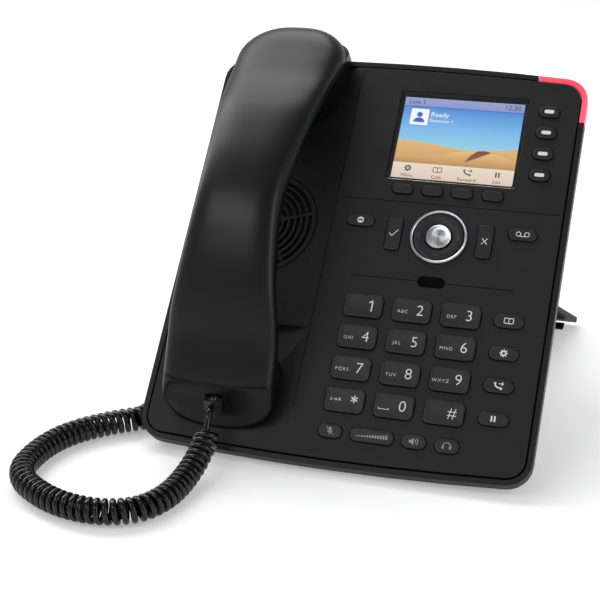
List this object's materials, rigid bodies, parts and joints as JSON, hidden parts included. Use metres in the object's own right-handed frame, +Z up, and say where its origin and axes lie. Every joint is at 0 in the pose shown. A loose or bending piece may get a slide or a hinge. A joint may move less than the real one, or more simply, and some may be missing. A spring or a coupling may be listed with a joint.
{
  "type": "desk ip phone",
  "caption": "Sloping desk IP phone with colour display, dial and function keys, corner indicator light, arched handset in its cradle, curly cord and plug-in stand.",
  "frame": {"origin": "on the desk, in the middle of the box round everything but the cord", "axes": "+Z up from the desk, +Y from the user towards the back, +X to the user's right"},
  "size_m": [0.2187, 0.2746, 0.1664],
  "materials": {
    "cover_plastic": "fine textured matte black",
    "case_plastic": "fine textured matte black",
    "handset_satin": "smooth satin black",
    "handset_gloss": "semi-gloss black",
    "key_plastic": "matte dark grey with white legends",
    "satin_trim": "satin, turned",
    "red_lens": "translucent red, lit from behind",
    "window": "clear and polished",
    "display": "lit colour display",
    "circuit_board": "green solder resist",
    "membrane": "soft silicone",
    "transducer_metal": "dark coated steel",
    "jack_shield": "tinned sheet",
    "jack_plastic": "moulded black",
    "plug_clear": "clear moulded polycarbonate",
    "foot_rubber": "matte black rubber",
    "cord_jacket": "glossy flexible black jacket"
  },
  "bodies": {
    "base": {"front_cover": "cover_plastic", "rear_cover": "case_plastic", "indicator_light": "red_lens", "display_window": "window", "display_panel": "display", "main_circuit_board": "circuit_board", "keypad_membrane": "membrane", "loudspeaker": "transducer_metal", "network_jack_block": "jack_shield", "cord_jack_block": "jack_plastic", "power_jack": "jack_plastic", "nav_trim_ring": "satin_trim", "stand": "case_plastic", "front_foot": "foot_rubber", "stand_foot": "foot_rubber", "base_plug": "plug_clear", "curly_cord": "cord_jacket", "cord_lead_base": "cord_jacket"},
    "handset": {"handset_outer_shell": "handset_satin", "handset_inner_shell": "handset_gloss", "receiver": "transducer_metal", "microphone": "transducer_metal", "handset_jack": "jack_plastic", "handset_plug": "plug_clear", "cord_lead_handset": "cord_jacket"},
    "hook_switch": {"hook_switch": "key_plastic"},
    "key_1": {"key_1": "key_plastic"},
    "key_2": {"key_2": "key_plastic"},
    "key_3": {"key_3": "key_plastic"},
    "key_4": {"key_4": "key_plastic"},
    "key_5": {"key_5": "key_plastic"},
    "key_6": {"key_6": "key_plastic"},
    "key_7": {"key_7": "key_plastic"},
    "key_8": {"key_8": "key_plastic"},
    "key_9": {"key_9": "key_plastic"},
    "key_star": {"key_star": "key_plastic"},
    "key_0": {"key_0": "key_plastic"},
    "key_hash": {"key_hash": "key_plastic"},
    "soft_key_1": {"soft_key_1": "key_plastic"},
    "soft_key_2": {"soft_key_2": "key_plastic"},
    "soft_key_3": {"soft_key_3": "key_plastic"},
    "soft_key_4": {"soft_key_4": "key_plastic"},
    "line_key_1": {"line_key_1": "key_plastic"},
    "line_key_2": {"line_key_2": "key_plastic"},
    "line_key_3": {"line_key_3": "key_plastic"},
    "line_key_4": {"line_key_4": "key_plastic"},
    "directory_key": {"directory_key": "key_plastic"},
    "settings_key": {"settings_key": "key_plastic"},
    "transfer_key": {"transfer_key": "key_plastic"},
    "hold_key": {"hold_key": "key_plastic"},
    "dnd_key": {"dnd_key": "key_plastic"},
    "voicemail_key": {"voicemail_key": "key_plastic"},
    "ok_key": {"ok_key": "key_plastic"},
    "cancel_key": {"cancel_key": "key_plastic"},
    "mute_key": {"mute_key": "key_plastic"},
    "speaker_key": {"speaker_key": "key_plastic"},
    "headset_key": {"headset_key": "key_plastic"},
    "volume_rocker": {"volume_rocker": "key_plastic"},
    "nav_rocker": {"nav_rocker": "key_plastic"},
    "nav_centre_key": {"nav_centre_key": "satin_trim"}
  },
  "joints": [
    {"name": "handset_lift", "type": "slide", "parent": "base", "child": "handset", "axis": [0, -0.7218, 0.6921], "range_m": [0, 0.08]},
    {"name": "hook_switch_rise", "type": "slide", "parent": "base", "child": "hook_switch", "axis": [0, -0.7218, 0.6921], "range_m": [0, 0.0033]},
    {"name": "key_1_press", "type": "slide", "parent": "base", "child": "key_1", "axis": [0, 0.7218, -0.6921], "range_m": [0, 0.0012], "stiffness_N_per_m": 500},
    {"name": "key_2_press", "type": "slide", "parent": "base", "child": "key_2", "axis": [0, 0.7218, -0.6921], "range_m": [0, 0.0012], "stiffness_N_per_m": 500},
    {"name": "key_3_press", "type": "slide", "parent": "base", "child": "key_3", "axis": [0, 0.7218, -0.6921], "range_m": [0, 0.0012], "stiffness_N_per_m": 500},
    {"name": "key_4_press", "type": "slide", "parent": "base", "child": "key_4", "axis": [0, 0.7218, -0.6921], "range_m": [0, 0.0012], "stiffness_N_per_m": 500},
    {"name": "key_5_press", "type": "slide", "parent": "base", "child": "key_5", "axis": [0, 0.7218, -0.6921], "range_m": [0, 0.0012], "stiffness_N_per_m": 500},
    {"name": "key_6_press", "type": "slide", "parent": "base", "child": "key_6", "axis": [0, 0.7218, -0.6921], "range_m": [0, 0.0012], "stiffness_N_per_m": 500},
    {"name": "key_7_press", "type": "slide", "parent": "base", "child": "key_7", "axis": [0, 0.7218, -0.6921], "range_m": [0, 0.0012], "stiffness_N_per_m": 500},
    {"name": "key_8_press", "type": "slide", "parent": "base", "child": "key_8", "axis": [0, 0.7218, -0.6921], "range_m": [0, 0.0012], "stiffness_N_per_m": 500},
    {"name": "key_9_press", "type": "slide", "parent": "base", "child": "key_9", "axis": [0, 0.7218, -0.6921], "range_m": [0, 0.0012], "stiffness_N_per_m": 500},
    {"name": "key_star_press", "type": "slide", "parent": "base", "child": "key_star", "axis": [0, 0.7218, -0.6921], "range_m": [0, 0.0012], "stiffness_N_per_m": 500},
    {"name": "key_0_press", "type": "slide", "parent": "base", "child": "key_0", "axis": [0, 0.7218, -0.6921], "range_m": [0, 0.0012], "stiffness_N_per_m": 500},
    {"name": "key_hash_press", "type": "slide", "parent": "base", "child": "key_hash", "axis": [0, 0.7218, -0.6921], "range_m": [0, 0.0012], "stiffness_N_per_m": 500},
    {"name": "soft_key_1_press", "type": "slide", "parent": "base", "child": "soft_key_1", "axis": [0, 0.7218, -0.6921], "range_m": [0, 0.0009], "stiffness_N_per_m": 500},
    {"name": "soft_key_2_press", "type": "slide", "parent": "base", "child": "soft_key_2", "axis": [0, 0.7218, -0.6921], "range_m": [0, 0.0009], "stiffness_N_per_m": 500},
    {"name": "soft_key_3_press", "type": "slide", "parent": "base", "child": "soft_key_3", "axis": [0, 0.7218, -0.6921], "range_m": [0, 0.0009], "stiffness_N_per_m": 500},
    {"name": "soft_key_4_press", "type": "slide", "parent": "base", "child": "soft_key_4", "axis": [0, 0.7218, -0.6921], "range_m": [0, 0.0009], "stiffness_N_per_m": 500},
    {"name": "line_key_1_press", "type": "slide", "parent": "base", "child": "line_key_1", "axis": [0, 0.7218, -0.6921], "range_m": [0, 0.0009], "stiffness_N_per_m": 500},
    {"name": "line_key_2_press", "type": "slide", "parent": "base", "child": "line_key_2", "axis": [0, 0.7218, -0.6921], "range_m": [0, 0.0009], "stiffness_N_per_m": 500},
    {"name": "line_key_3_press", "type": "slide", "parent": "base", "child": "line_key_3", "axis": [0, 0.7218, -0.6921], "range_m": [0, 0.0009], "stiffness_N_per_m": 500},
    {"name": "line_key_4_press", "type": "slide", "parent": "base", "child": "line_key_4", "axis": [0, 0.7218, -0.6921], "range_m": [0, 0.0009], "stiffness_N_per_m": 500},
    {"name": "directory_key_press", "type": "slide", "parent": "base", "child": "directory_key", "axis": [0, 0.7218, -0.6921], "range_m": [0, 0.0009], "stiffness_N_per_m": 500},
    {"name": "settings_key_press", "type": "slide", "parent": "base", "child": "settings_key", "axis": [0, 0.7218, -0.6921], "range_m": [0, 0.0009], "stiffness_N_per_m": 500},
    {"name": "transfer_key_press", "type": "slide", "parent": "base", "child": "transfer_key", "axis": [0, 0.7218, -0.6921], "range_m": [0, 0.0009], "stiffness_N_per_m": 500},
    {"name": "hold_key_press", "type": "slide", "parent": "base", "child": "hold_key", "axis": [0, 0.7218, -0.6921], "range_m": [0, 0.0009], "stiffness_N_per_m": 500},
    {"name": "dnd_key_press", "type": "slide", "parent": "base", "child": "dnd_key", "axis": [0, 0.7218, -0.6921], "range_m": [0, 0.0009], "stiffness_N_per_m": 500},
    {"name": "voicemail_key_press", "type": "slide", "parent": "base", "child": "voicemail_key", "axis": [0, 0.7218, -0.6921], "range_m": [0, 0.0009], "stiffness_N_per_m": 500},
    {"name": "ok_key_press", "type": "slide", "parent": "base", "child": "ok_key", "axis": [0, 0.7218, -0.6921], "range_m": [0, 0.0009], "stiffness_N_per_m": 500},
    {"name": "cancel_key_press", "type": "slide", "parent": "base", "child": "cancel_key", "axis": [0, 0.7218, -0.6921], "range_m": [0, 0.0009], "stiffness_N_per_m": 500},
    {"name": "mute_key_press", "type": "slide", "parent": "base", "child": "mute_key", "axis": [0, 0.7218, -0.6921], "range_m": [0, 0.0009], "stiffness_N_per_m": 500},
    {"name": "speaker_key_press", "type": "slide", "parent": "base", "child": "speaker_key", "axis": [0, 0.7218, -0.6921], "range_m": [0, 0.0009], "stiffness_N_per_m": 500},
    {"name": "headset_key_press", "type": "slide", "parent": "base", "child": "headset_key", "axis": [0, 0.7218, -0.6921], "range_m": [0, 0.0009], "stiffness_N_per_m": 500},
    {"name": "nav_centre_key_press", "type": "slide", "parent": "base", "child": "nav_centre_key", "axis": [0, 0.7218, -0.6921], "range_m": [0, 0.0009], "stiffness_N_per_m": 500},
    {"name": "nav_rocker_tilt", "type": "hinge", "parent": "base", "child": "nav_rocker", "pos_m": [0.0314, -0.0214, 0.08453], "axis": [1, 0, 0], "range_deg": [-3, 3], "stiffness_Nm_per_rad": 0.5},
    {"name": "volume_rocker_tilt", "type": "hinge", "parent": "base", "child": "volume_rocker", "pos_m": [0.0183, -0.08861, 0.01445], "axis": [0, 0.6921, 0.7218], "range_deg": [-3, 3], "stiffness_Nm_per_rad": 0.4}
  ],
  "couplings": [
    {"joint": "hook_switch_rise", "follows": "handset_lift", "ratio": 0.04}
  ]
}
